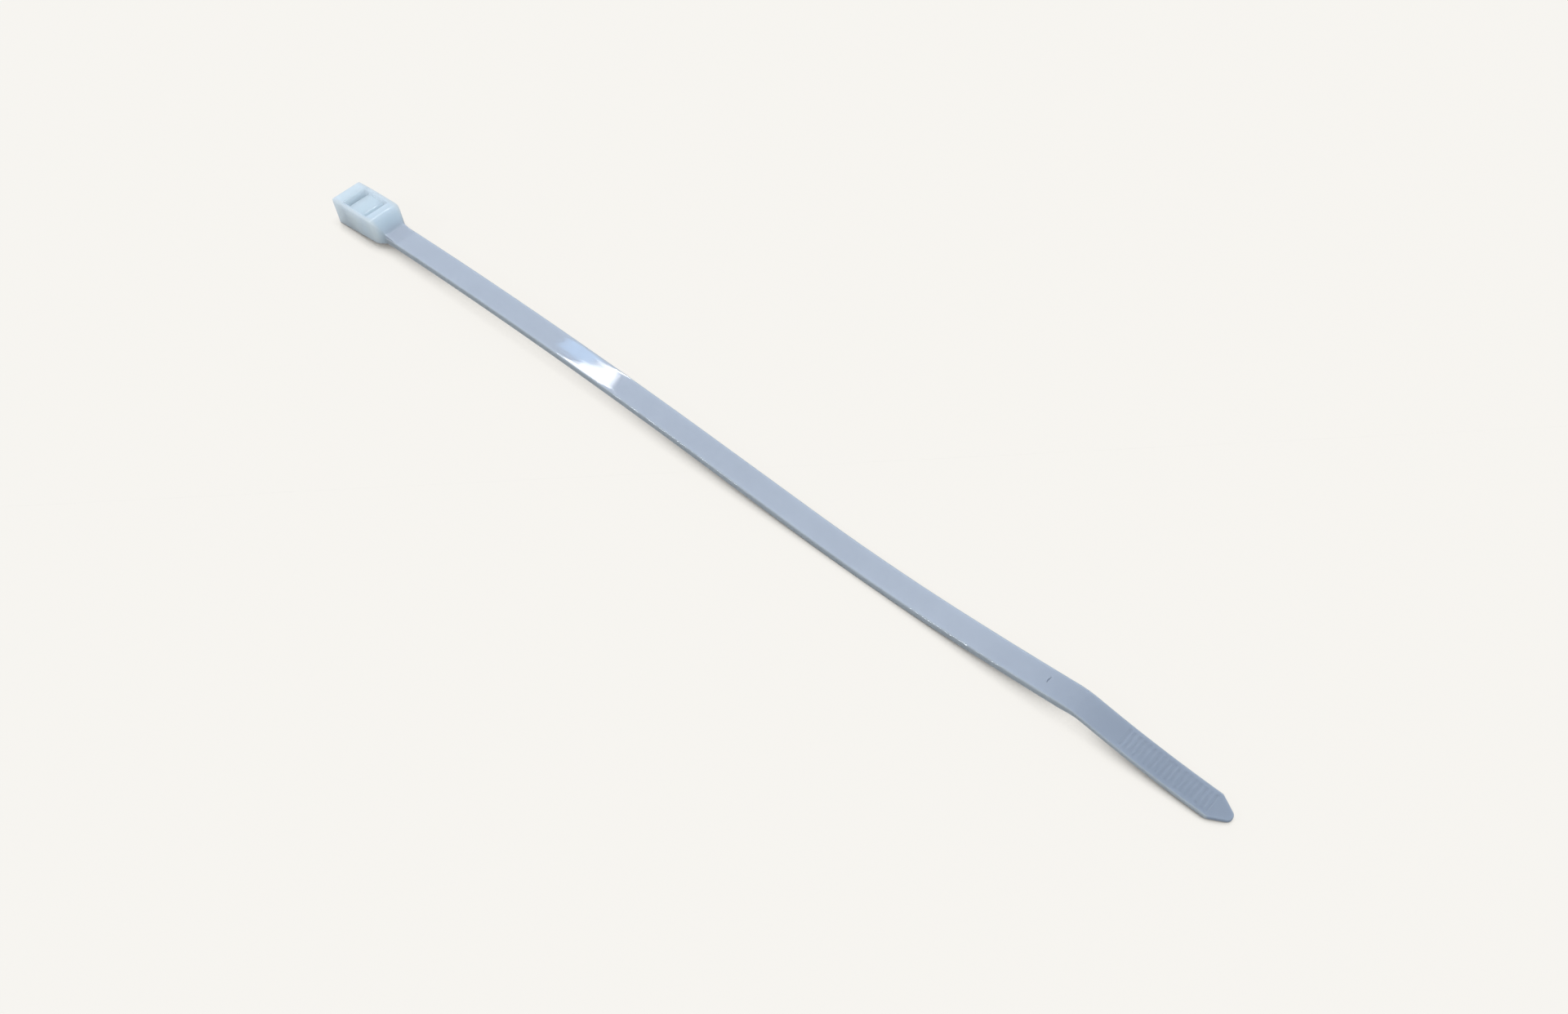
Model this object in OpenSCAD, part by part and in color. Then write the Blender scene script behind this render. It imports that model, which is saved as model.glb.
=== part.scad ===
// Self-locking nylon cable tie, one moulding, lying free on a flat surface with its smooth side up.
// +X runs from the head to the tail, +Z is up and the surface is z = 0.
// The strap is drawn along its smooth top line, which takes a series of gentle bends and one crease.

/* [Overall] */
// Length from the back of the head to the end of the tail, measured along the strap
tie_l = 200; // [170:1:300]

/* [Strap] */
// Width of the strap
strap_w = 4.8; // [3.6:0.1:6]
// Thickness of the strap over its rails
strap_t = 1.4; // [1:0.05:1.7]
// Radius of the strap's long edges
edge_r = 0.2; // [0.1:0.05:0.4]

/* [Rack] */
// Distance from one ratchet tooth to the next
tooth_pitch = 1.1; // [0.8:0.05:1.5]
// Height of a ratchet tooth
tooth_h = 0.5; // [0.3:0.05:0.6]
// Width of the toothed channel between the two rails
rack_w = 3; // [2:0.1:3.4]
// How far the tooth tips stay below the rails
tip_drop = 0.08; // [0.04:0.01:0.2]
// Length of strap between the head and the first tooth
plain_l = 14; // [6:1:30]

/* [Tail] */
// Length of the thin tail, from the crease to its end
tail_l = 25.5; // [18:1:40]
// Thickness of the tail
tail_t = 0.9; // [0.7:0.05:1.2]
// Length of the tail's pointed end
point_l = 3.1; // [2:0.1:6]
// Radius of the blunt nose
nose_r = 1; // [0.6:0.05:1.5]
// Distance from one grip rib to the next
rib_pitch = 0.9; // [0.8:0.1:2]
// Depth of the grooves between the grip ribs
rib_h = 0.08; // [0.05:0.01:0.2]
// Length of the ribbed part of the tail
ribbed_l = 17; // [6:0.5:18]
// Width of the ribbed field
ribbed_w = 3.4; // [2:0.1:3.6]

/* [Head] */
// Height of the head at its back
head_h = 5.5; // [4.5:0.1:7]
// How much lower the head's top is at its front
top_fall = 0.7; // [0:0.05:0.8]
// Length of the sloping front
front_l = 1.8; // [1.2:0.1:2.6]
// Radius where the top turns down into the front
brow_r = 2; // [0.4:0.1:2.5]
// Radius of the head's long top edges
shoulder_r = 0.5; // [0.3:0.1:0.9]
// Radius of the head's upright back corners
corner_r = 0.5; // [0.2:0.1:1]
// Radius of the head's upright front corners
front_r = 2.5; // [0.5:0.1:3]
// Radius of the head's other edges
head_edge_r = 0.25; // [0.1:0.05:0.4]
// Length of the wedge that stiffens the neck
wedge_l = 3; // [1.5:0.1:5]
// Height of the wedge above the strap where it meets the head
wedge_h = 0.75; // [0.3:0.05:1]

/* [Slot and pawl] */
// Thickness of the wall behind the slot
back_wall = 2.6; // [2:0.1:3.2]
// Thickness of the walls beside the slot
side_wall = 0.85; // [0.6:0.05:1.5]
// Length of the solid front, from the well to the neck
front_wall = 4.1; // [3:0.1:6]
// Clearance between the strap's thickness and the slot
slot_gap = 0.4; // [0.2:0.05:0.6]
// Clearance on each side of the strap's width in the slot
slot_side_gap = 0.2; // [0.1:0.05:0.3]
// Lead-in chamfer at the slot's mouth
lead_in = 0.35; // [0.1:0.05:0.5]
// Clearance on each side of the pawl
pawl_side_gap = 0.15; // [0.1:0.05:0.3]
// Room in front of the pawl's heel, for the pawl to swing into
pawl_swing = 1.8; // [1.2:0.1:3]
// Thickness of the pawl at its tip, over the teeth
pawl_t = 1.5; // [1:0.05:2]
// How much the pawl's top falls from its tip to its heel
pawl_fall = 0.5; // [0.3:0.05:1.5]
// Length of the pawl's foot, from the slot to the hinge
pawl_foot_l = 3.6; // [2.4:0.1:3.8]
// Play left between the pawl's teeth and the roots of the strap's teeth
mesh_gap = 0.1; // [0.05:0.01:0.2]
// How far the pawl's tip stays below the lowest part of the head's top
pawl_drop = 0.15; // [0:0.05:0.5]
// Thickness of the hinge that the pawl bends on
hinge_t = 0.7; // [0.5:0.05:1]

/* [Bends] */
// Length of the bend just in front of the neck
neck_bend_l = 3.6; // [2:0.1:6]
// Downward turn of that bend, in degrees
neck_turn = 5.1; // [0:0.1:8]
// Downward turn of the long arch that follows, in degrees
arch_turn = 5.1; // [0:0.1:12]
// Length of the straight run after the arch
run_l = 23; // [5:1:30]
// Length of the sag that touches the surface
sag_l = 32; // [20:1:45]
// Upward turn of the sag, in degrees
sag_turn = 6.9; // [4:0.1:12]
// Length of the rise to the crease
rise_l = 21; // [10:1:30]
// Upward turn of the rise, in degrees
rise_turn = 2.4; // [0:0.1:6]
// Length of the crease at the start of the thin tail
crease_l = 3.5; // [3:0.1:8]
// Downward turn of the crease, in degrees
crease_turn = 17.4; // [0:0.1:25]
// Upward curl of the tail after the crease, in degrees
curl_turn = 9; // [0:0.1:12]

/* [Hidden] */

slot_w = strap_w + 2 * slot_side_gap;
well_l = strap_t + slot_gap + pawl_foot_l + pawl_swing; // open from the slot to the front
head_w = slot_w + 2 * side_wall;
head_l = back_wall + well_l + front_wall;
front_h = head_h - top_fall;
top_slope = atan(top_fall / (head_l - front_l));

root_l = 1;                     // strap buried in the head
strap_l = tie_l - head_l;       // strap that shows
arch_l = strap_l - neck_bend_l - run_l - sag_l - rise_l - crease_l - tail_l;
curl_l = tail_l - point_l;
// Each stretch of the strap is [length, upward turn in degrees].
stretches = [
    [root_l, 0],
    [neck_bend_l, -neck_turn],
    [arch_l, -arch_turn],
    [run_l, 0],
    [sag_l, sag_turn],
    [rise_l, rise_turn],
    [crease_l, -crease_turn],
    [curl_l, curl_turn],
    [point_l, 0]
];
path_l = root_l + strap_l;
tail_s = path_l - tail_l;       // where the crease ends and the thin tail begins

slot_back = back_wall - head_l;
slot_front = slot_back + strap_t + slot_gap;
well_front = slot_back + well_l;
pawl_w = slot_w - 2 * pawl_side_gap;
pawl_tooth_h = tooth_h - mesh_gap;
pawl_reach = slot_back + strap_t - tooth_h + mesh_gap;  // line of the pawl's tooth tips
pawl_root = pawl_reach + pawl_tooth_h;
pawl_back = pawl_reach + pawl_t;
pawl_heel = slot_front + pawl_foot_l;
pawl_throat = 0.6;              // plain pawl between the hinge and the lowest tooth
pawl_teeth_z = hinge_t + pawl_throat;
hinge_r = hinge_t / 2;          // flat fillets beside the hinge
pawl_top = front_h - pawl_drop;
pawl_teeth = floor((pawl_top - pawl_teeth_z) / tooth_pitch);
steep = 0.2;                    // share of a pitch that a tooth's steep face takes
past = 1;                       // how far a cut runs past the face it opens
ridge_cut = 0.1;                // the same, at the ridge between two grip grooves
neck_inset = 0.1;               // how far inside the strap's sides the head's front ends
edge_share = 0.45;              // most of a thin or narrow section that a rounded edge may take
longest_step = 8;
largest_turn = 2.5;
arc_step = 15;                  // degrees between the points of a rounded outline
strap_arc_step = 30;            // the same, round the strap's long edges

// ---- the strap's top line: a state is [x, z, direction in degrees] ----
function after(state, l, turn) =
    turn == 0
    ? [state[0] + l * cos(state[2]), state[1] + l * sin(state[2]), state[2]]
    : let (r = l / (turn * PI / 180), end = state[2] + turn)
      [state[0] + r * (sin(end) - sin(state[2])), state[1] + r * (cos(state[2]) - cos(end)), end];

function state_at(s, i = 0, state = [-root_l, strap_t, 0]) =
    let (l = stretches[i][0], turn = stretches[i][1])
    s <= l || i == len(stretches) - 1
    ? after(state, s, turn * s / l)
    : state_at(s - l, i + 1, after(state, l, turn));

// The point at distance s along the top line and height n above it.
function strap_point(s, n) =
    let (state = state_at(s))
    [state[0] - n * sin(state[2]), state[1] + n * cos(state[2])];

function starts(i) = i == 0 ? 0 : starts(i - 1) + stretches[i - 1][0];

function thickness(s) =
    s <= tail_s - crease_l ? strap_t
    : s >= tail_s ? tail_t
    : strap_t + (tail_t - strap_t) * (s - tail_s + crease_l) / crease_l;

// Half the width at distance u from the end: parallel strap, straight taper, round nose.
taper = atan2(strap_w / 2, point_l - nose_r)
    - asin(nose_r / norm([strap_w / 2, point_l - nose_r]));
function half_width(u) =
    u >= point_l ? strap_w / 2
    : u >= nose_r * (1 - sin(taper)) ? strap_w / 2 - (point_l - u) * tan(taper)
    : sqrt(pow(nose_r, 2) - pow(nose_r - u, 2));

nose_angles = [90 - taper : -arc_step : arc_step / 2];
stations = concat(
    [for (i = [0 : len(stretches) - 2])
        let (l = stretches[i][0], steps = ceil(max(l / longest_step, abs(stretches[i][1]) / largest_turn)))
        for (k = [0 : steps - 1]) starts(i) + k * l / steps],
    [path_l - point_l],
    [for (a = nose_angles) path_l - nose_r * (1 - cos(a))]
);

// ---- outlines ----
// Points of an arc about c, from angle a to angle b.
function arc(c, r, a, b, step = arc_step) =
    let (steps = ceil(abs(b - a) / step))
    [for (k = [0 : steps]) c + r * [cos(a + (b - a) * k / steps), sin(a + (b - a) * k / steps)]];

function section(half, t) =
    let (r = min(edge_r, edge_share * min(2 * half, t)))
    concat(
        arc([half - r, -r], r, 90, 0, strap_arc_step),
        arc([half - r, r - t], r, 0, -90, strap_arc_step),
        arc([r - half, r - t], r, -90, -180, strap_arc_step),
        arc([r - half, -r], r, 180, 90, strap_arc_step)
    );

// Side view of the head, from the heel round the back, over the top and down the front.
brow_turn = atan2(front_h - strap_t - wedge_h, front_l);
brow_x = -front_l - brow_r * tan((brow_turn - top_slope) / 2) * cos(top_slope);
brow_z = front_h + brow_r * tan((brow_turn - top_slope) / 2) * sin(top_slope);
brow_c = [brow_x, brow_z] - brow_r * [sin(top_slope), cos(top_slope)];
head_side = concat(
    [[0, 0]],
    arc([head_edge_r - head_l, head_edge_r], head_edge_r, 270, 180),
    arc([head_edge_r - head_l, head_h - head_edge_r], head_edge_r, 180, 90),
    arc(brow_c, brow_r, 90 - top_slope, 90 - brow_turn),
    [[0, strap_t + wedge_h]]
);

// Half of the head from above, and from the back.
neck_y = strap_w / 2 - neck_inset;
front_turn = atan2(head_w / 2 - neck_y, front_l);
head_half_plan = concat(
    [[0, 0], [0, neck_y]],
    arc([-front_l - front_r * tan(front_turn / 2), head_w / 2 - front_r], front_r, 90 - front_turn, 90),
    arc([corner_r - head_l, head_w / 2 - corner_r], corner_r, 90, 180),
    [[-head_l, 0]]
);
head_half_end = concat(
    [[0, 0]],
    arc([head_w / 2 - head_edge_r, head_edge_r], head_edge_r, 270, 360),
    arc([head_w / 2 - shoulder_r, head_h - shoulder_r], shoulder_r, 0, 90),
    [[0, head_h]]
);

// ---- how it rests: turned about the heel until the strap's sag touches the surface ----
heel = [head_edge_r - head_l, 0];
underside = [for (s = stations) strap_point(s, -thickness(s))];
tail_top = strap_point(stations[len(stations) - 1], 0);
rest_tilt = -min([for (p = underside) if (p[0] > 0) atan2(p[1] - heel[1], p[0] - heel[0])]);
function tilted(p) =
    [p[0] * cos(rest_tilt) - p[1] * sin(rest_tilt), p[0] * sin(rest_tilt) + p[1] * cos(rest_tilt)];
outline = [for (p = concat(head_side, underside, [tail_top])) tilted(p)];
low_z = min([for (p = outline) p[1]]);
mid_x = (min([for (p = outline) p[0]]) + max([for (p = outline) p[0]])) / 2;

// ---- sub-parts ----
// A side-view outline, [x, z] points, spread to width w about the middle of the tie.
module across(w) {
    rotate([90, 0, 0])
        translate([0, 0, -w / 2])
            linear_extrude(w)
                children();
}

module strap_body() {
    rings = [for (s = stations) let (state = state_at(s))
        [for (q = section(half_width(path_l - s), thickness(s)))
            [state[0] - q[1] * sin(state[2]), q[0], state[1] + q[1] * cos(state[2])]]];
    sides = len(rings[0]);
    last = len(rings) - 1;
    faces = concat(
        [[for (k = [sides - 1 : -1 : 0]) k]],
        [for (i = [0 : last - 1], k = [0 : sides - 1])
            let (a = i * sides + k, b = i * sides + (k + 1) % sides)
            [a, b, b + sides, a + sides]],
        [[for (k = [0 : sides - 1]) last * sides + k]]
    );
    polyhedron([for (ring = rings, p = ring) p], faces);
}

// Cutter for the toothed channel: everything below the saw-tooth line.
module rack_cut() {
    first = root_l + plain_l;
    teeth = floor((tail_s - crease_l - first) / tooth_pitch);
    saw = [for (k = [0 : teeth - 1]) let (s = first + k * tooth_pitch) each [
        strap_point(s, tooth_h - strap_t),
        strap_point(s + steep * tooth_pitch, tip_drop - strap_t)
    ]];
    end = first + teeth * tooth_pitch;
    below = [for (k = [teeth : -1 : 0]) strap_point(first + k * tooth_pitch, -strap_t - past)];
    across(rack_w)
        polygon(concat(saw, [strap_point(end, tooth_h - strap_t)], below));
}

// Cutter for one ribbed face of the tail; face is 1 on the smooth top and -1 underneath.
module rib_cut(face) {
    ribs = floor(ribbed_l / rib_pitch);
    first = path_l - point_l - ribs * rib_pitch;
    surface = face > 0 ? 0 : -tail_t;
    grooves = [for (k = [0 : ribs - 1]) let (s = first + k * rib_pitch) each [
        strap_point(s, surface + face * ridge_cut),
        strap_point(s + rib_pitch / 2, surface - face * rib_h)
    ]];
    end = first + ribs * rib_pitch;
    outside = [for (k = [ribs : -1 : 0]) strap_point(first + k * rib_pitch, surface + face * past)];
    across(ribbed_w)
        polygon(concat(grooves, [strap_point(end, surface + face * ridge_cut)], outside));
}

module head_block() {
    intersection() {
        across(head_w)
            polygon(head_side);
        linear_extrude(head_h)
            polygon(concat(head_half_plan, [for (k = [len(head_half_plan) - 2 : -1 : 1])
                [head_half_plan[k][0], -head_half_plan[k][1]]]));
        translate([-head_l, 0, 0])
            rotate([90, 0, 90])
                linear_extrude(head_l)
                    polygon(concat(head_half_end, [for (k = [len(head_half_end) - 2 : -1 : 1])
                        [-head_half_end[k][0], head_half_end[k][1]]]));
    }
}

// The way through the head: a funnel mouth, the slot, and the well that the pawl moves in.
module well_cut() {
    across(slot_w)
        polygon([
            [slot_back - lead_in, -past],
            [slot_back - lead_in, 0],
            [slot_back, lead_in],
            [slot_back, head_h + past],
            [well_front, head_h + past],
            [well_front, -past]
        ]);
}

// The pawl stands on its hinge beside the slot, with its teeth towards the back wall.
module pawl() {
    teeth = [for (k = [0 : pawl_teeth - 1]) let (z = pawl_teeth_z + k * tooth_pitch) each [
        [pawl_reach, z + (1 - steep) * tooth_pitch],
        [pawl_root, z + tooth_pitch]
    ]];
    across(pawl_w)
        polygon(concat(
            [[well_front, 0], [slot_front + lead_in, 0], [slot_front, lead_in]],
            [[slot_front, hinge_t], [pawl_root, pawl_teeth_z]],
            teeth,
            [[pawl_root, pawl_top], [pawl_back, pawl_top], [pawl_heel, pawl_top - pawl_fall]],
            [[pawl_heel, hinge_t + hinge_r], [pawl_heel + hinge_r, hinge_t], [well_front, hinge_t]]
        ));
    // The hinge's foot spans the whole well, in front of the pawl.
    across(slot_w + past)
        polygon([
            [well_front + past, 0],
            [well_front - hinge_r, 0],
            [well_front - hinge_r, hinge_t],
            [well_front + past, hinge_t]
        ]);
}

module neck_wedge() {
    across(strap_w - 2 * edge_r)
        polygon([
            [-root_l, strap_t / 2],
            [-root_l, strap_t + wedge_h],
            [0, strap_t + wedge_h],
            strap_point(root_l + wedge_l, 0),
            strap_point(root_l + wedge_l, -strap_t / 2)
        ]);
}

module cable_tie() {
    color([0.71, 0.76, 0.81])
        translate([-mid_x, 0, -low_z])
            rotate([0, -rest_tilt, 0])
                union() {
                    difference() {
                        strap_body();
                        rack_cut();
                        rib_cut(1);
                        rib_cut(-1);
                    }
                    difference() {
                        head_block();
                        well_cut();
                    }
                    pawl();
                    neck_wedge();
                }
}

cable_tie();
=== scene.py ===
import math

import bmesh
import bpy
from mathutils import Matrix, Vector


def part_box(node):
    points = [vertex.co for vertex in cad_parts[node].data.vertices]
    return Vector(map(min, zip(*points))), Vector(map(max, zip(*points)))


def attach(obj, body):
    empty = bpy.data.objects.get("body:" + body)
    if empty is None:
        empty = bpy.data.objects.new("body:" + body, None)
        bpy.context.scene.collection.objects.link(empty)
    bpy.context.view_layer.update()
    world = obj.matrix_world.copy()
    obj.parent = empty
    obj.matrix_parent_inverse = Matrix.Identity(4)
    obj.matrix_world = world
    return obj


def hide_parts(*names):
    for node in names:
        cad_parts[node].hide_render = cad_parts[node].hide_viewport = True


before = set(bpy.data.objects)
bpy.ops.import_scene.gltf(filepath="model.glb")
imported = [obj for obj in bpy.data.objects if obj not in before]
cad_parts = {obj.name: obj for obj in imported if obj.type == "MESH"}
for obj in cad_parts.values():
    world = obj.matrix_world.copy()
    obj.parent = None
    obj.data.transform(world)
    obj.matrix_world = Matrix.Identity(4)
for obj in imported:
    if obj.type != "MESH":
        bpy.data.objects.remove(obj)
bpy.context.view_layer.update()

# A natural nylon cable tie on a pale floor. The tie is one moulding, built here as one fine closed mesh
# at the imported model's sizes. Meshes are made in millimetres, with the neck at the origin, +X towards the
# tail and the smooth side up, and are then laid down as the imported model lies, in metres.

MM = 0.001
NODE = "cable_tie"

# ---- sizes in millimetres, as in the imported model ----
TIE_L = 200.0                            # from the back of the head to the end of the tail
STRAP_W = 4.8
STRAP_T = 1.4                            # over the two rails on its underside
EDGE_R = 0.2                             # of the strap's long edges

TOOTH_PITCH = 1.1
TOOTH_H = 0.5
RACK_W = 3.0                             # width of the toothed channel between the rails
TIP_DROP = 0.08                          # how far the tooth tips stay below the rails
PLAIN_L = 14.0                           # strap between the head and the first tooth
STEEP = 0.2                              # share of a pitch that a tooth's steep face takes

TAIL_L = 25.5                            # thin tail, from the crease to its end
TAIL_T = 0.9
POINT_L = 3.1                            # the tail's pointed end
NOSE_R = 1.0
RIB_PITCH = 0.9
RIB_H = 0.08                             # depth of the grooves between the grip ribs
RIBBED_L = 17.0
RIBBED_W = 3.4

HEAD_H = 5.5                             # at its back
TOP_FALL = 0.7                           # how much lower the head's top is at its front
FRONT_L = 1.8                            # the sloping front
BROW_R = 2.0                             # where the top turns down into the front
FRONT_R = 2.5                            # the upright front corners
SHOULDER_R = 0.5                         # the long top edges
CORNER_R = 0.5                           # the upright back corners
HEAD_EDGE_R = 0.25                       # the head's other edges
NECK_INSET = 0.1                         # how far inside the strap's sides the front ends
WEDGE_L = 3.0                            # the wedge that stiffens the neck
WEDGE_H = 0.75                           # its height above the strap where it meets the head
ROOT_L = 1.0                             # strap buried in the head

BACK_WALL = 2.6                          # behind the slot
SIDE_WALL = 0.85
FRONT_WALL = 4.1                         # solid front, from the well to the neck
SLOT_GAP = 0.4                           # clearance over the strap's thickness
SLOT_SIDE_GAP = 0.2                      # clearance on each side of the strap
LEAD_IN = 0.35                           # chamfer at the slot's mouth
PAWL_SIDE_GAP = 0.15
PAWL_SWING = 1.8                         # room for the pawl in front of its heel
PAWL_T = 1.5                             # at its tip, over the teeth
PAWL_FALL = 0.5                          # how much the pawl's top falls from its tip to its heel
PAWL_FOOT_L = 3.6                        # from the slot to the heel
PAWL_DROP = 0.15                         # how far its tip stays below the lowest part of the head's top
PAWL_ROOT_Z = 1.3                        # where its lowest tooth starts
MESH_GAP = 0.1                           # play between the pawl's teeth and the strap's
HINGE_T = 0.7
HINGE_R = 0.35

NECK_BEND_L = 3.6
RUN_L = 23.0
SAG_L = 32.0
RISE_L = 21.0
CREASE_L = 3.5

SLOT_W = STRAP_W + 2 * SLOT_SIDE_GAP
WELL_L = STRAP_T + SLOT_GAP + PAWL_FOOT_L + PAWL_SWING
HEAD_W = SLOT_W + 2 * SIDE_WALL
HEAD_L = BACK_WALL + WELL_L + FRONT_WALL
FRONT_H = HEAD_H - TOP_FALL
STRAP_L = TIE_L - HEAD_L
PATH_L = ROOT_L + STRAP_L
ARCH_L = STRAP_L - NECK_BEND_L - RUN_L - SAG_L - RISE_L - CREASE_L - TAIL_L
TAIL_S = PATH_L - TAIL_L                 # where the crease ends and the thin tail begins
SLOT_BACK = BACK_WALL - HEAD_L
SLOT_FRONT = SLOT_BACK + STRAP_T + SLOT_GAP
WELL_FRONT = SLOT_BACK + WELL_L
# Each stretch of the strap's top line is (length, upward turn in degrees).
STRETCHES = (
    (ROOT_L, 0), (NECK_BEND_L, -5.1), (ARCH_L, -5.1), (RUN_L, 0), (SAG_L, 6.9), (RISE_L, 2.4),
    (CREASE_L, -17.4), (TAIL_L - POINT_L, 9), (POINT_L, 0),
)

# ---- finer sizes that only the looks need, in millimetres and degrees ----
CROWN = 0.02                             # how much the smooth top falls from its middle to its edges
DRAFT = 0.08                             # slope of the channel's and the ribs' side walls
TAPER_CORNER_R = 0.7                     # rounding where the tail starts to narrow
NICK_S = 154.0                           # a small cut across the smooth top, near the crease
NICK_Y = 0.2
NICK_L = 1.5
NICK_W = 0.3
NICK_DEPTH = 0.25
NICK_BOW = 0.14
# One ratchet tooth and one rib: (share of the pitch, share of the depth).
TOOTH = ((0.0, 1.0), (0.15, 0.2), (0.2, 0.0), (0.28, 0.03), (0.95, 0.97))
RIB = ((0.0, 0.0), (0.25, 0.45), (0.5, 1.0), (0.75, 0.45))

FIT = 0.9995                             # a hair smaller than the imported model, with its coarser arcs
LINE_STEPS = 2000                        # points of the underside that are tried as its rest
LONGEST_STEP = 1.5                       # between the rings of a plain stretch
ARC_STEP = 7.5                           # between the points of an outline's arcs
RIM_STEP = 18                            # the same, round the strap's long edges
NOSE_STEP = 7                            # the same, between the rings of the narrowing end
MERGE = 0.001                            # points nearer than this become one
PAST = 1                                 # how far a cutter or a joined shape runs past the face it meets
WEDGE_TUCK = 0.3                         # how far the wedge's buried end dips with the strap
ROOT_INSET = 0.12                        # how much smaller the strap starts inside the head
VOXEL = 0.1
SOFTENING = 5                            # smoothing rounds that turn sharp mould edges into small radii
SOFTENING_FACTOR = 0.5
SHARP_ANGLE = 38                         # edges that turn more than this stay crisp

# ---- the nylon: tints as pairs, for the darker and the lighter clouds in it; after the first, they hold painted shade, and painted light inside the head ----
HEAD_TINT = (0.78, 0.87, 0.95), (0.81, 0.89, 0.96)
# Painted shade: the head's front is drawn darker than its top.
HEAD_FRONT_SHADED_TINT = (0.66, 0.72, 0.76), (0.69, 0.745, 0.785)
# Painted shade: the head's sides, and its top near them, are drawn darker.
HEAD_SIDE_SHADED_TINT = (0.74, 0.74, 0.70), (0.78, 0.77, 0.73)
# Painted light: the slot and the well inside the head are drawn paler than its top.
HEAD_INSIDE_LIT_TINT = (0.97, 0.99, 0.998), (0.98, 0.995, 0.999)
# Painted shade: the thin strap is drawn darker than the head, for the light that passes through it.
STRAP_SHADED_TINT = (0.56, 0.56, 0.605), (0.58, 0.58, 0.625)
# Painted shade: the strap's long edges are drawn darker.
STRAP_EDGE_SHADED_TINT = (0.43, 0.43, 0.43), (0.46, 0.46, 0.46)
# Painted shade: the thin tail past the crease is drawn darker than the strap.
TAIL_SHADED_TINT = (0.365, 0.385, 0.443), (0.385, 0.405, 0.463)
# How far before and past its place each change of tint runs, in millimetres.
HEAD_SIDE_FADE = 1.3, 0.0                # at the head's sides, which painted shade darkens
STRAP_SIDE_FADE = 0.3, 0.0               # at the strap's sides, which painted shade darkens
NECK_FADE = 1.5, 1.0                     # along the tie, at the neck, where the strap's painted shade begins
CREASE_FADE = 25.0, 24.0                 # along the tie, round the crease, where the tail's painted shade comes in
WELL_FADE = 0.3, 0.3                     # along the tie, at the well's front, where the inside's painted light ends
FRONT_FADE = 0.5, 2.0                    # the same, on the head's top, where its front's painted shade begins
SUNK_FADE = 0.4, -0.1                    # up to the head's top
SLOT_SIDE_FADE = 0.1, 0.2                # across the tie, at the slot's sides
CLOUDS = 0.3, 0.7                        # noise that gives the darker and the lighter tint
CLOUD_SCALE = 90.0
FLOW_SCALE = 130.0
FLOW_STRETCH = (1, 18, 18)               # how much finer the flow lines are across the tie than along it
GRAIN_SCALE = 6000.0
FLOW_BUMP = 0.00001                      # height in metres
GRAIN_BUMP = 0.000001
FLOW_STRENGTH = 0.25
GRAIN_STRENGTH = 0.15
ROUGHNESS = 0.01, 0.05
NYLON_IOR = 1.53
HEAD_DEPTH = 0.006                       # how far light wanders in the head, in metres
STRAP_DEPTH = 0.0015

# ---- the set, in metres ----
FLOOR_REACH = 6.0
FLOOR_GLOW = (0.881, 0.857, 0.813, 1)
FLOOR_LIT = (0.06, 0.06, 0.06, 1)
FLOOR_BOUNCE = (0.50, 0.50, 0.50, 1)
SHADE_REACH = 0.0036                     # how far round the tie the floor is shaded
SHADE_SAMPLES = 4
SHADE_OPENNESS = 0.15, 0.72              # how open the deepest shade and the clear floor are
DEEPEST_SHADE = 0.05                     # share of the floor's glow that is left there
PALE = (0.922, 0.905, 0.871, 1)          # the floor as the camera sees it, away from the tie

SKY_COLOUR = (0.83, 0.98, 1.12, 1)
SKY_SIDE = (-0.45, 0.45, 0.77)           # the brightest direction
SKY_SPAN = -0.3, 1.0                     # how far towards it the sky starts and stops getting brighter
SKY_LEVEL = 0.54, 0.94

CAMERA_PLACE = (0.13049, -0.12379, 0.21362)
CAMERA_AIM = (0.01307, 0.00068, 0)
CAMERA_ROLL = -1.671                     # in degrees
CAMERA_LENS = 37.866                     # focal length and sensor width in millimetres
CAMERA_SENSOR = 36
CAMERA_CLIP = 0.01, 20

LIGHT_DISTANCE = 3.0
# Lights by where the camera sees them mirrored: (stretch along the strap, band across it), in millimetres.
WINDOW = (
    ((56.8, 59.2), (1.6, 12.0)),
    ((54.6, 59.6), (0.9, 1.6)),
    ((56.6, 59.2), (0.4, 0.9)),
    ((54.2, 60.0), (-0.5, 0.4)),
    ((52.4, 60.0), (-1.3, -0.5)),
    ((50.0, 60.2), (-12.0, -1.3)),
)
WINDOW_NAMES = "abcdef"
HAZE = ((46.5, 54.6), (-0.9, 6.0))
RIM = ((59.0, 92.0), (-12.0, 6.0))
RIM_LEAN = -40                           # slope in degrees of the edge that mirrors the rim light
# Radiance and colour of each light.
WINDOW_LIGHT = 16, (1, 1, 1)
HAZE_LIGHT = 4.5, (0.35, 0.62, 1)
RIM_LIGHT = 20, (0.9, 0.95, 1)


# ---- the strap's line ----
def state_at(s):
    """Point and heading of the smooth top line at distance s from its start inside the head."""
    x, z, heading = -ROOT_L, STRAP_T, 0.0
    for length, turn in STRETCHES:
        part = min(s, length)
        bend = math.radians(turn) * part / length
        chord = part * math.sin(bend / 2) / (bend / 2) if bend else part
        x += chord * math.cos(heading + bend / 2)
        z += chord * math.sin(heading + bend / 2)
        heading += bend
        s -= part
    return x, z, heading


def strap_point(s, y, n):
    """The point at distance s along the strap, y across it and n above its top line."""
    x, z, heading = state_at(s)
    return Vector((x - n * math.sin(heading), y, z + n * math.cos(heading)))


def thickness(s):
    share = min(max((s - TAIL_S + CREASE_L) / CREASE_L, 0), 1)
    return STRAP_T + (TAIL_T - STRAP_T) * share


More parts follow.
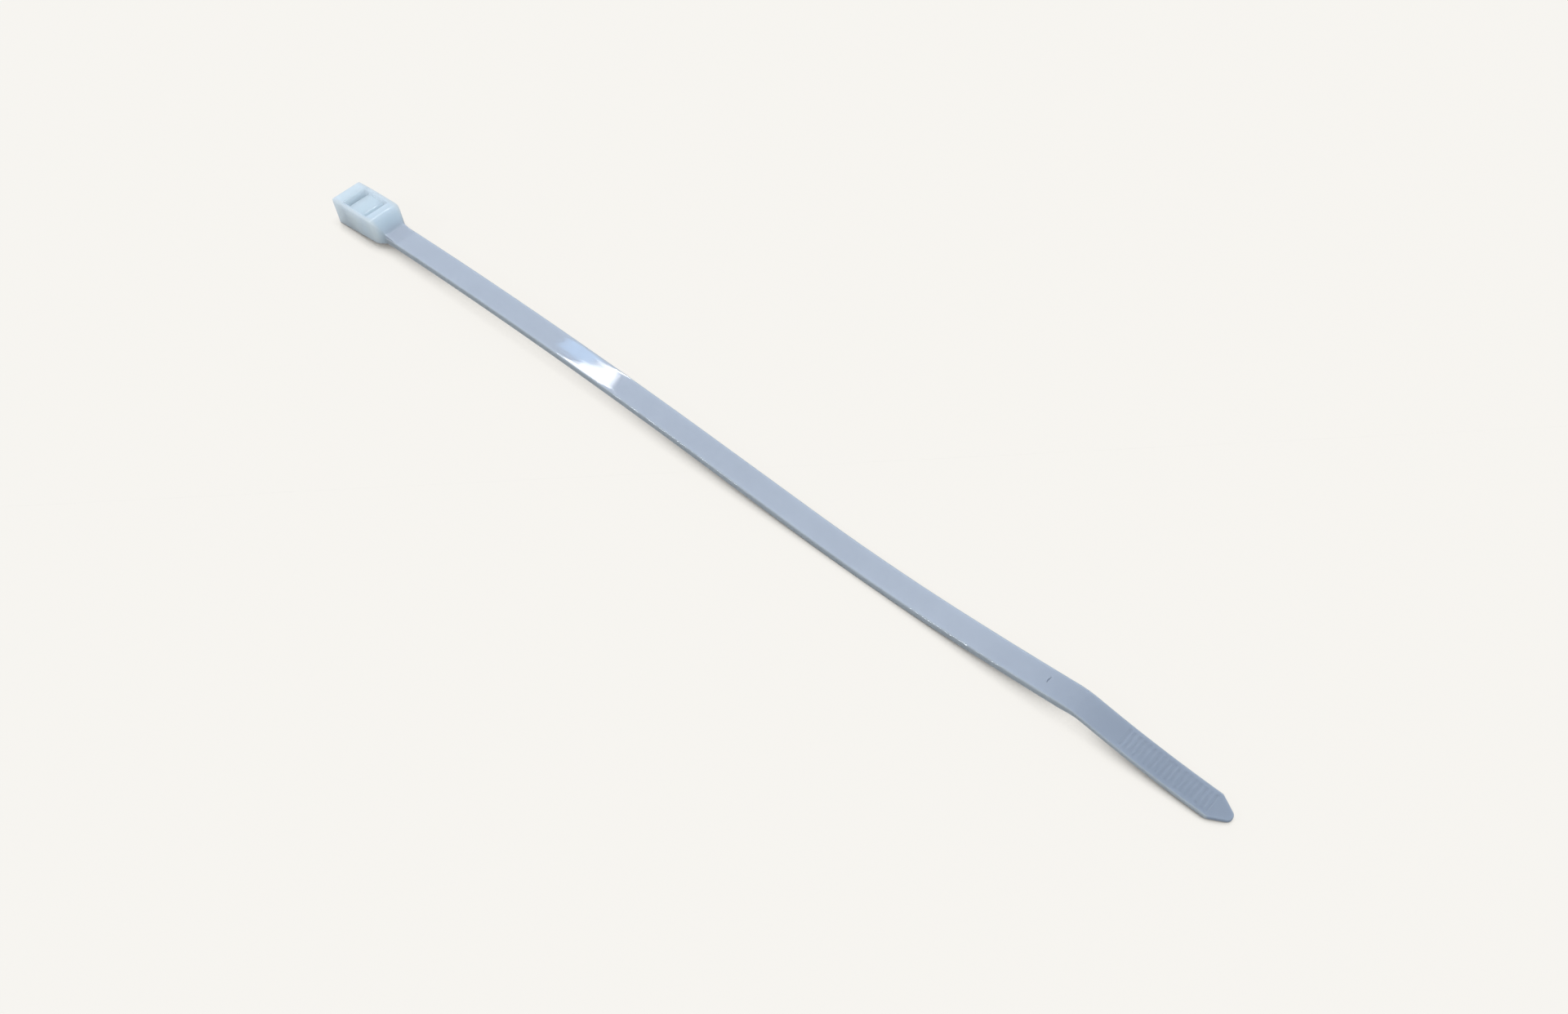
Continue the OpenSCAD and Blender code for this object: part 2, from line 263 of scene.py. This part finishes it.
def lay_down():
    """Matrix from the tie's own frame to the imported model's, at rest on the heel and the sag."""
    heel = Vector((HEAD_EDGE_R - HEAD_L, 0, 0))
    distances = [PATH_L * k / LINE_STEPS for k in range(LINE_STEPS + 1)]
    under = [strap_point(s, 0, -thickness(s)) - heel for s in distances]
    tilt = -min(math.atan2(p.z, p.x) for p in under if p.x > -heel.x)
    turn = Matrix.Rotation(-tilt, 4, "Y")
    low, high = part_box(NODE)
    end = turn @ strap_point(PATH_L, 0, -TAIL_T / 2)
    floor = (turn @ heel).z
    move = Matrix.Translation((high.x / MM - end.x, 0, low.z / MM - floor))
    return Matrix.Scale(MM * FIT, 4) @ move @ turn


# ---- mesh helpers ----
def mesh_object(name, points, faces):
    """A new object, with its doubled points joined and its faces turned outwards."""
    mesh = bpy.data.meshes.new(name)
    mesh.from_pydata([tuple(p) for p in points], [], faces)
    work = bmesh.new()
    work.from_mesh(mesh)
    bmesh.ops.remove_doubles(work, verts=work.verts, dist=MERGE)
    bmesh.ops.recalc_face_normals(work, faces=work.faces)
    work.to_mesh(mesh)
    work.free()
    piece = bpy.data.objects.new(name, mesh)
    bpy.context.scene.collection.objects.link(piece)
    return piece


def prism(name, outline, low, high, place):
    """Solid between two copies of a flat outline; place turns (a, b, height) into a point."""
    count = len(outline)
    points = [place(a, b, h) for h in (low, high) for a, b in outline]
    sides = [(k, (k + 1) % count, count + (k + 1) % count, count + k) for k in range(count)]
    ends = [tuple(range(count)), tuple(range(2 * count - 1, count - 1, -1))]
    return mesh_object(name, points, sides + ends)


def across(name, outline, width):
    """Side-view outline, (x, z) points, spread to a width about the middle of the tie."""
    return prism(name, outline, -width / 2, width / 2, lambda a, b, h: (a, h, b))


def bake(piece):
    """Applies every modifier of a piece to its mesh."""
    graph = bpy.context.evaluated_depsgraph_get()
    mesh = bpy.data.meshes.new_from_object(piece.evaluated_get(graph))
    piece.modifiers.clear()
    piece.data = mesh


def combine(piece, other, operation):
    """Boolean of two closed pieces; the second one is used up."""
    step = piece.modifiers.new(operation, "BOOLEAN")
    step.operation = operation
    step.object = other
    step.solver = "EXACT"
    bake(piece)
    bpy.data.objects.remove(other)


def arc(centre, r, start, end, step=ARC_STEP):
    """Points of an arc, with angles in degrees."""
    steps = math.ceil(abs(end - start) / step)
    angles = [math.radians(start + (end - start) * k / steps) for k in range(steps + 1)]
    return [(centre[0] + r * math.cos(a), centre[1] + r * math.sin(a)) for a in angles]


def mirrored(half):
    """A closed outline from its upper half, mirrored in its first coordinate's axis."""
    return half + [(a, -b) for a, b in reversed(half[1:-1])]


def skin(rings):
    """Faces between rings of equally many points, which are numbered ring by ring."""
    around = len(rings[0])
    faces = []
    for i in range(len(rings) - 1):
        for k in range(around):
            a, b = i * around + k, i * around + (k + 1) % around
            faces.append((a, b, b + around, a + around))
    return faces


# ---- the strap ----
def pattern(first, pitch, count, shape):
    """(distance, share of the depth) pairs of a row of teeth or ribs."""
    return [(first + (k + share) * pitch, depth) for k in range(count) for share, depth in shape]


def narrowing_end(half, start_s):
    """(distance, half width, lean of the rim) where the tail narrows: an arc, a taper and the nose."""
    reach = math.hypot(half, POINT_L - NOSE_R)
    taper = math.degrees(math.atan2(half, POINT_L - NOSE_R) - math.asin(NOSE_R / reach))
    turn_in = TAPER_CORNER_R * math.tan(math.radians(taper / 2))
    rings = []
    for centre, r, start, end in (
        ((start_s - turn_in, half - TAPER_CORNER_R), TAPER_CORNER_R, 90, 90 - taper),
        ((PATH_L - NOSE_R, 0), NOSE_R, 90 - taper, 0),
    ):
        steps = math.ceil((start - end) / NOSE_STEP)
        for k in range(steps + 1):
            angle = math.radians(start + (end - start) * k / steps)
            s, y = centre[0] + r * math.cos(angle), centre[1] + r * math.sin(angle)
            rings.append((s, y, math.pi / 2 - angle))
    return rings


def strap_rings():
    """Rings as (distance, half width, lean of the rim's outward normal, rack, ribs) along the strap."""
    half = STRAP_W / 2
    rack_first = ROOT_L + PLAIN_L
    teeth = math.floor((TAIL_S - CREASE_L - rack_first) / TOOTH_PITCH)
    rack_end = rack_first + teeth * TOOTH_PITCH
    ribs = math.floor(RIBBED_L / RIB_PITCH)
    rib_first = PATH_L - POINT_L - ribs * RIB_PITCH
    rib_end = rib_first + ribs * RIB_PITCH

    def straight(s, rack=0.0, rib=0.0):
        return s, half, 0.0, rack, rib

    def plain(start, end):
        steps = math.ceil((end - start) / LONGEST_STEP)
        return [straight(start + (end - start) * k / steps) for k in range(steps)]

    rings = plain(0, rack_first - TOOTH_PITCH / 2)
    rings.append(straight(rack_first - TOOTH_PITCH / 2))
    rings += [straight(s, rack=TIP_DROP + (TOOTH_H - TIP_DROP) * depth)
              for s, depth in pattern(rack_first, TOOTH_PITCH, teeth, TOOTH)]
    rings.append(straight(rack_end, rack=TOOTH_H))
    rings += plain(rack_end + TOOTH_PITCH / 2, rib_first)
    rings += [straight(s, rib=RIB_H * depth) for s, depth in pattern(rib_first, RIB_PITCH, ribs, RIB)]
    rings += [(*end, 0.0, 0.0) for end in narrowing_end(half, rib_end)]
    return rings


def section(half, lean, t, rack, rib):
    """Half of a ring, from the middle of the top round the edge to the middle underneath.

    Each point is (set back along the strap, distance across, height above the top line)."""
    inner = half - EDGE_R * math.cos(lean)
    back = EDGE_R * math.sin(lean)
    shrink = inner / (STRAP_W / 2 - EDGE_R)
    rib_edge, rack_edge = shrink * RIBBED_W / 2, shrink * RACK_W / 2
    draft = shrink * DRAFT
    top = [(back, 0, -rib), (back, rib_edge / 2, -rib), (back, rib_edge - draft, -rib),
           (back, rib_edge, 0)]
    top = [(b, y, n - CROWN * (y / (STRAP_W / 2)) ** 2) for b, y, n in top]
    rim = []
    for centre, start in ((-CROWN - EDGE_R, 90), (EDGE_R - t, 0)):
        for out, up in arc((0, centre), EDGE_R, start, start - 90, RIM_STEP):
            inset = EDGE_R - out
            rim.append((inset * math.sin(lean), half - inset * math.cos(lean), up))
    under = rack if rack else rib
    floor = [(back, rack_edge, -t), (back, rack_edge - draft, under - t), (back, 0, under - t)]
    return top + rim + floor


def strap():
    rings = []
    for s, half, lean, rack, rib in strap_rings():
        t = thickness(s)
        root = max(0.0, 1 - s / ROOT_L) * ROOT_INSET
        ring = section(half, lean, t, rack, rib)
        full = ring + [(b, -y, n) for b, y, n in reversed(ring[1:-1])]
        middle = -t / 2
        grow_y = 1 - root / half if half > root else 1
        grow_n = 1 - root / (t / 2)
        rings.append([strap_point(s - b, y * grow_y, middle + (n - middle) * grow_n) for b, y, n in full])
    start = tuple(range(len(rings[0])))
    return mesh_object("strap", [p for ring in rings for p in ring], skin(rings) + [start])


def nick():
    """Cutter for the nick: a thin bowed sliver, V-shaped below and lying across the strap."""
    steps = 12
    rings = []
    for k in range(1, steps):
        share = 2 * k / steps - 1                # -1 at its near end, 1 at its far end
        swell = math.sqrt(1 - share ** 2)
        s = NICK_S + NICK_BOW * share ** 2
        y = NICK_Y + share * NICK_L / 2
        wide, deep = swell * NICK_W / 2, swell * NICK_DEPTH
        rings.append([strap_point(s - wide, y, 0), strap_point(s, y, deep),
                      strap_point(s + wide, y, 0), strap_point(s, y, -deep)])
    points = [p for ring in rings for p in ring]
    last = len(points)
    start, end = (0, 1, 2, 3), (last - 4, last - 3, last - 2, last - 1)
    return mesh_object("nick", points, [start, *skin(rings), end])


# ---- the head ----
def head_block():
    slope = math.atan(TOP_FALL / (HEAD_L - FRONT_L))
    brow_turn = math.atan2(FRONT_H - STRAP_T - WEDGE_H, FRONT_L)
    brow = BROW_R * math.tan((brow_turn - slope) / 2)
    brow_c = (
        -FRONT_L - brow * math.cos(slope) - BROW_R * math.sin(slope),
        FRONT_H + brow * math.sin(slope) - BROW_R * math.cos(slope),
    )
    side = [(0, 0)]
    side += arc((HEAD_EDGE_R - HEAD_L, HEAD_EDGE_R), HEAD_EDGE_R, 270, 180)
    side += arc((HEAD_EDGE_R - HEAD_L, HEAD_H - HEAD_EDGE_R), HEAD_EDGE_R, 180, 90)
    side += arc(brow_c, BROW_R, 90 - math.degrees(slope), 90 - math.degrees(brow_turn))
    side += [(0, STRAP_T + WEDGE_H)]
    block = across("head", side, HEAD_W)

    neck_y = STRAP_W / 2 - NECK_INSET
    turn = math.atan2(HEAD_W / 2 - neck_y, FRONT_L)
    front_c = (-FRONT_L - FRONT_R * math.tan(turn / 2), HEAD_W / 2 - FRONT_R)
    plan = [(0, 0), (0, neck_y)]
    plan += arc(front_c, FRONT_R, 90 - math.degrees(turn), 90)
    plan += arc((CORNER_R - HEAD_L, HEAD_W / 2 - CORNER_R), CORNER_R, 90, 180)
    plan += [(-HEAD_L, 0)]
    plan_solid = prism("plan", mirrored(plan), -PAST, HEAD_H + PAST, lambda a, b, h: (a, b, h))
    combine(block, plan_solid, "INTERSECT")

    # Seen from the end, as (height, distance across).
    end = [(0, 0)]
    end += [(z, y) for y, z in arc((HEAD_W / 2 - HEAD_EDGE_R, HEAD_EDGE_R), HEAD_EDGE_R, 270, 360)]
    end += [(z, y) for y, z in arc((HEAD_W / 2 - SHOULDER_R, HEAD_H - SHOULDER_R), SHOULDER_R, 0, 90)]
    end += [(HEAD_H, 0)]
    end_solid = prism("end", mirrored(end), -HEAD_L - PAST, PAST, lambda a, b, h: (h, b, a))
    combine(block, end_solid, "INTERSECT")

    well = [(SLOT_BACK - LEAD_IN, -PAST), (SLOT_BACK - LEAD_IN, 0), (SLOT_BACK, LEAD_IN),
            (SLOT_BACK, HEAD_H + PAST), (WELL_FRONT, HEAD_H + PAST), (WELL_FRONT, -PAST)]
    combine(block, across("well", well, SLOT_W), "DIFFERENCE")
    return block


def pawl():
    """The pawl on its hinge, with its teeth towards the slot's back wall."""
    reach = SLOT_BACK + STRAP_T - TOOTH_H + MESH_GAP
    root = reach + TOOTH_H - MESH_GAP
    heel = SLOT_FRONT + PAWL_FOOT_L
    top = FRONT_H - PAWL_DROP
    teeth = []
    for k in range(math.floor((top - PAWL_ROOT_Z) / TOOTH_PITCH)):
        z = PAWL_ROOT_Z + k * TOOTH_PITCH
        teeth += [(reach, z + (1 - STEEP) * TOOTH_PITCH), (root, z + TOOTH_PITCH)]
    outline = [(WELL_FRONT + PAST, 0), (SLOT_FRONT + LEAD_IN, 0), (SLOT_FRONT, LEAD_IN),
               (SLOT_FRONT, HINGE_T), (root, PAWL_ROOT_Z), *teeth, (root, top),
               (reach + PAWL_T, top), (heel, top - PAWL_FALL),
               (heel, HINGE_T + HINGE_R), (heel + HINGE_R, HINGE_T), (WELL_FRONT + PAST, HINGE_T)]
    return across("pawl", outline, SLOT_W - 2 * PAWL_SIDE_GAP)


def neck_wedge():
    low = STRAP_T / 2
    end = strap_point(ROOT_L + WEDGE_L, 0, 0)
    fall = (end.z - STRAP_T - WEDGE_H) / end.x
    sunk = end.x + PAST
    outline = [(-ROOT_L, low), (-ROOT_L, STRAP_T + WEDGE_H), (0, STRAP_T + WEDGE_H),
               (sunk, STRAP_T + WEDGE_H + fall * sunk), (sunk, low - WEDGE_TUCK)]
    return across("wedge", outline, STRAP_W - 2 * EDGE_R)


def head():
    block = head_block()
    combine(block, pawl(), "UNION")
    combine(block, neck_wedge(), "UNION")
    remesh = block.modifiers.new("even", "REMESH")
    remesh.mode = "VOXEL"
    remesh.voxel_size = VOXEL
    soften = block.modifiers.new("soften", "SMOOTH")
    soften.factor = SOFTENING_FACTOR
    soften.iterations = SOFTENING
    bake(block)
    return block


def moulding(laid):
    """The whole tie as one closed mesh, laid down in place."""
    piece = head()
    combine(piece, strap(), "UNION")
    combine(piece, nick(), "DIFFERENCE")
    piece.name = piece.data.name = "nylon_moulding"
    piece.data.transform(laid)
    piece.data.shade_smooth()
    piece.data.set_sharp_from_angle(angle=math.radians(SHARP_ANGLE))
    even = piece.modifiers.new("flat faces first", "WEIGHTED_NORMAL")
    even.keep_sharp = True
    bake(piece)
    return piece


# ---- materials ----
class Nodes:
    """Adds nodes to a tree and links them."""

    def __init__(self, tree):
        self.tree = tree
        tree.nodes.clear()

    def feed(self, node, name, value):
        """Links an output to an input, or sets the input to a value."""
        socket = node.inputs[name]
        if isinstance(value, bpy.types.NodeSocket):
            self.tree.links.new(value, socket)
        else:
            socket.default_value = value

    def add(self, kind, **inputs):
        """A new node. Its inputs are named with underscores for spaces."""
        node = self.tree.nodes.new(kind)
        for name, value in inputs.items():
            self.feed(node, name.replace("_", " "), value)
        return node

    def calculate(self, kind, operation, *values):
        """The number that a Math or VectorMath node makes of its inputs."""
        node = self.tree.nodes.new(kind)
        node.operation = operation
        for place, value in enumerate(values):
            self.feed(node, place, value)
        return node.outputs["Value"]

    def ramp(self, value, low, high, start=0.0, end=1.0, kind="SMOOTHSTEP"):
        """Goes from start to end as value goes from low to high."""
        node = self.add("ShaderNodeMapRange", Value=value, From_Min=low, From_Max=high)
        node.interpolation_type = kind
        self.feed(node, "To Min", start)
        self.feed(node, "To Max", end)
        return node.outputs["Result"]

    def mix(self, factor, first, second):
        """A colour between two others."""
        node = self.add("ShaderNodeMix", Factor=factor)
        node.data_type = "RGBA"
        a, b, result = 6, 7, 2                   # the node's sockets for colours
        self.feed(node, a, first)
        self.feed(node, b, second)
        return node.outputs[result]

    def for_camera(self, seen, other):
        """One shader where the camera looks straight at it, and the other for light that bounces."""
        path = self.add("ShaderNodeLightPath")
        both = self.add("ShaderNodeMixShader", Fac=path.outputs["Is Camera Ray"])
        self.feed(both, 1, other)
        self.feed(both, 2, seen)
        return both.outputs["Shader"]


def nylon_colour(nodes, place, axes, off_middle, laid):
    """The nylon's cloudy colour, with its painted light and shade, and how far light wanders in it, at each
    place on the tie.
    """
    clouds = nodes.add("ShaderNodeTexNoise", Vector=place, Scale=CLOUD_SCALE, Detail=3.0, Roughness=0.5)
    cloudy = nodes.ramp(clouds.outputs["Fac"], *CLOUDS)

    def tinted(pair):
        return nodes.mix(cloudy, (*pair[0], 1), (*pair[1], 1))

    def fade(value, at, widths, *ends):
        return nodes.ramp(value, at - MM * widths[0], at + MM * widths[1], *ends)

    neck_x = (laid @ strap_point(ROOT_L, 0, 0)).x
    crease_x = (laid @ strap_point(TAIL_S - CREASE_L, 0, 0)).x
    well_x = (laid @ Vector((WELL_FRONT, 0, FRONT_H))).x
    top_back, top_front = (laid @ Vector(p) for p in ((-HEAD_L, 0, HEAD_H), (-FRONT_L, 0, FRONT_H)))
    top_normal = Vector((0, 1, 0)).cross(top_front - top_back).normalized()
    height = nodes.calculate("ShaderNodeVectorMath", "DOT_PRODUCT", place, top_normal)

    # The inside of the head lies below its top, between the slot's sides and behind the well's front.
    # Painted light: the colour there is drawn paler than the head's top.
    sunk = fade(height, top_back.dot(top_normal), SUNK_FADE, 1.0, 0.0)
    central = fade(off_middle, MM * SLOT_W / 2, SLOT_SIDE_FADE, 1.0, 0.0)
    behind = fade(axes["X"], well_x, WELL_FADE, 1.0, 0.0)
    sunk_middle = nodes.calculate("ShaderNodeMath", "MULTIPLY", sunk, central)
    inside = nodes.calculate("ShaderNodeMath", "MULTIPLY", sunk_middle, behind)

    # Painted shade on the head's sides.
    head_side_shade = fade(off_middle, MM * HEAD_W / 2, HEAD_SIDE_FADE)
    # Painted shade on the head's front.
    head = nodes.mix(fade(axes["X"], well_x, FRONT_FADE), tinted(HEAD_TINT), tinted(HEAD_FRONT_SHADED_TINT))
    head = nodes.mix(head_side_shade, head, tinted(HEAD_SIDE_SHADED_TINT))
    # Painted light inside the head.
    head = nodes.mix(inside, head, tinted(HEAD_INSIDE_LIT_TINT))

    # Painted shade along the strap's edges.
    strap_edge_shade = fade(off_middle, MM * STRAP_W / 2, STRAP_SIDE_FADE)
    # Painted shade on the tail, past the crease.
    top = nodes.mix(fade(axes["X"], crease_x, CREASE_FADE), tinted(STRAP_SHADED_TINT), tinted(TAIL_SHADED_TINT))
    strap_colour = nodes.mix(strap_edge_shade, top, tinted(STRAP_EDGE_SHADED_TINT))
    # Painted shade: past the neck, the strap is drawn darker than the head.
    colour = nodes.mix(fade(axes["X"], neck_x, NECK_FADE), head, strap_colour)
    depth = fade(axes["X"], neck_x, NECK_FADE, HEAD_DEPTH, STRAP_DEPTH)
    return colour, depth


def natural_nylon(laid):
    """Undyed nylon. It lets light through. Its colour holds painted shade, so it is palest in the head and
    darkest in the thin tail.
    """
    material = bpy.data.materials.new("natural_nylon")
    material.use_nodes = True
    nodes = Nodes(material.node_tree)
    place = nodes.add("ShaderNodeTexCoord").outputs["Object"]
    axes = nodes.add("ShaderNodeSeparateXYZ", Vector=place).outputs
    off_middle = nodes.calculate("ShaderNodeMath", "ABSOLUTE", axes["Y"])
    colour, depth = nylon_colour(nodes, place, axes, off_middle, laid)

    # Flow lines drawn out along the strap, and a fine grain.
    drawn = nodes.add("ShaderNodeMapping", Vector=place, Scale=FLOW_STRETCH).outputs["Vector"]
    flow = nodes.add("ShaderNodeTexNoise", Vector=drawn, Scale=FLOW_SCALE, Detail=4.0, Roughness=0.6)
    grain = nodes.add("ShaderNodeTexNoise", Vector=place, Scale=GRAIN_SCALE, Detail=2.0)
    lines = nodes.add("ShaderNodeBump", Height=flow.outputs["Fac"], Strength=FLOW_STRENGTH,
                      Distance=FLOW_BUMP)
    surface = nodes.add("ShaderNodeBump", Height=grain.outputs["Fac"], Strength=GRAIN_STRENGTH,
                        Distance=GRAIN_BUMP, Normal=lines.outputs["Normal"])
    shader = nodes.add(
        "ShaderNodeBsdfPrincipled",
        Normal=surface.outputs["Normal"],
        Roughness=nodes.ramp(flow.outputs["Fac"], 0.0, 1.0, *ROUGHNESS),
        Base_Color=colour,
        IOR=NYLON_IOR,
        Subsurface_Weight=1.0,
        Subsurface_Radius=(1.0, 1.0, 1.0),
        Subsurface_Scale=depth,
    )
    nodes.add("ShaderNodeOutputMaterial", Surface=shader.outputs["BSDF"])
    return material


def floor_material():
    """A pale light table: it glows evenly, apart from a soft shade close round whatever lies on it.

    Only the camera sees that glow. The tie is lit by what a plain grey floor would throw back."""
    material = bpy.data.materials.new("pale_floor")
    material.use_nodes = True
    nodes = Nodes(material.node_tree)
    near = nodes.add("ShaderNodeAmbientOcclusion", Distance=SHADE_REACH)
    near.samples = SHADE_SAMPLES
    shade = nodes.ramp(near.outputs["AO"], *SHADE_OPENNESS, DEEPEST_SHADE, 1.0)
    lit = nodes.add("ShaderNodeBsdfDiffuse", Color=FLOOR_LIT)
    glow = nodes.add("ShaderNodeEmission", Color=FLOOR_GLOW, Strength=shade)
    seen = nodes.add("ShaderNodeAddShader")
    nodes.feed(seen, 0, lit.outputs["BSDF"])
    nodes.feed(seen, 1, glow.outputs["Emission"])
    bounce = nodes.add("ShaderNodeBsdfDiffuse", Color=FLOOR_BOUNCE)
    both = nodes.for_camera(seen.outputs["Shader"], bounce.outputs["BSDF"])
    nodes.add("ShaderNodeOutputMaterial", Surface=both)
    return material


# ---- the set ----
def floor():
    corners = (-1, -1), (1, -1), (1, 1), (-1, 1)
    points = [(x * FLOOR_REACH, y * FLOOR_REACH, 0) for x, y in corners]
    plane = mesh_object("floor", points, [(0, 1, 2, 3)])
    plane.data.materials.append(floor_material())


def camera():
    """Looks down on the tie from the tail's side, as in the photograph."""
    data = bpy.data.cameras.new("camera")
    data.sensor_width = CAMERA_SENSOR
    data.lens = CAMERA_LENS
    data.clip_start, data.clip_end = CAMERA_CLIP
    view = bpy.data.objects.new("camera", data)
    view.location = CAMERA_PLACE
    view.rotation_mode = "QUATERNION"
    look = (Vector(CAMERA_AIM) - Vector(CAMERA_PLACE)).to_track_quat("-Z", "Y")
    roll = Matrix.Rotation(math.radians(CAMERA_ROLL), 3, "Z").to_quaternion()
    view.rotation_quaternion = look @ roll
    bpy.context.scene.collection.objects.link(view)
    bpy.context.scene.camera = view
    return view


def area_light(name, aim, towards, along, size, radiance, colour):
    """A rectangular light seen from aim in one direction, with its first side along another."""
    data = bpy.data.lights.new(name, "AREA")
    data.shape = "RECTANGLE"
    data.size, data.size_y = size
    data.energy = radiance * math.pi * size[0] * size[1]
    data.color = colour
    lamp = bpy.data.objects.new(name, data)
    back = towards.normalized()
    lamp.location = aim + back * LIGHT_DISTANCE
    lamp.rotation_mode = "QUATERNION"
    side = (along - along.dot(back) * back).normalized()
    lamp.rotation_quaternion = Matrix((side, back.cross(side), back)).transposed().to_quaternion()
    bpy.context.scene.collection.objects.link(lamp)


def mirror_direction(view, laid, s, y, lean):
    """Where the camera looks to by way of the glossy strap, at distance s and y across.

    The surface there leans out by an angle in degrees, on top of the crown's slope."""
    here = strap_point(s, y, 0)
    slope = 2 * CROWN * y / (STRAP_W / 2) ** 2 + math.tan(math.radians(lean))
    normal = laid.to_3x3() @ (strap_point(s, y + slope, 1) - here)
    normal.normalize()
    point = laid @ here
    ray = (point - view.location).normalized()
    return point, ray - 2 * ray.dot(normal) * normal


def glint(name, view, laid, where, light, lean=0):
    """A light that the camera sees mirrored on one stretch of the strap and on one band across it."""
    stretch, band = where
    start, end = (ROOT_L + s for s in stretch)
    middle = (start + end) / 2, sum(band) / 2

    def mirrored_at(s, y):
        return mirror_direction(view, laid, s, y, lean)

    point, towards = mirrored_at(*middle)
    along = mirrored_at(end, middle[1])[1] - mirrored_at(start, middle[1])[1]
    wide = mirrored_at(middle[0], band[1])[1] - mirrored_at(middle[0], band[0])[1]
    size = along.length * LIGHT_DISTANCE, wide.length * LIGHT_DISTANCE
    area_light(name, point, towards, along, size, *light)


def lights(view, laid):
    """The long highlight with its haze, and the bright line on the strap's near edge."""
    for letter, where in zip(WINDOW_NAMES, WINDOW):
        glint("window_" + letter, view, laid, where, WINDOW_LIGHT)
    glint("haze", view, laid, HAZE, HAZE_LIGHT)
    glint("rim", view, laid, RIM, RIM_LIGHT, RIM_LEAN)


def studio():
    """A soft sky, brighter on one side. Past the floor's edge the camera sees the floor's colour."""
    world = bpy.data.worlds.new("studio")
    bpy.context.scene.world = world
    world.use_nodes = True
    nodes = Nodes(world.node_tree)
    direction = nodes.add("ShaderNodeTexCoord").outputs["Generated"]
    facing = nodes.calculate("ShaderNodeVectorMath", "DOT_PRODUCT", direction, SKY_SIDE)
    level = nodes.ramp(facing, *SKY_SPAN, *SKY_LEVEL, kind="LINEAR")
    sky = nodes.add("ShaderNodeBackground", Color=SKY_COLOUR, Strength=level)
    backdrop = nodes.add("ShaderNodeBackground", Color=PALE, Strength=1.0)
    both = nodes.for_camera(backdrop.outputs["Background"], sky.outputs["Background"])
    nodes.add("ShaderNodeOutputWorld", Surface=both)


laid = lay_down()
tie = moulding(laid)
tie.data.materials.append(natural_nylon(laid))
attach(tie, "root")
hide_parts(NODE)

floor()
view = camera()
lights(view, laid)
studio()
bpy.context.scene.view_settings.view_transform = "Standard"
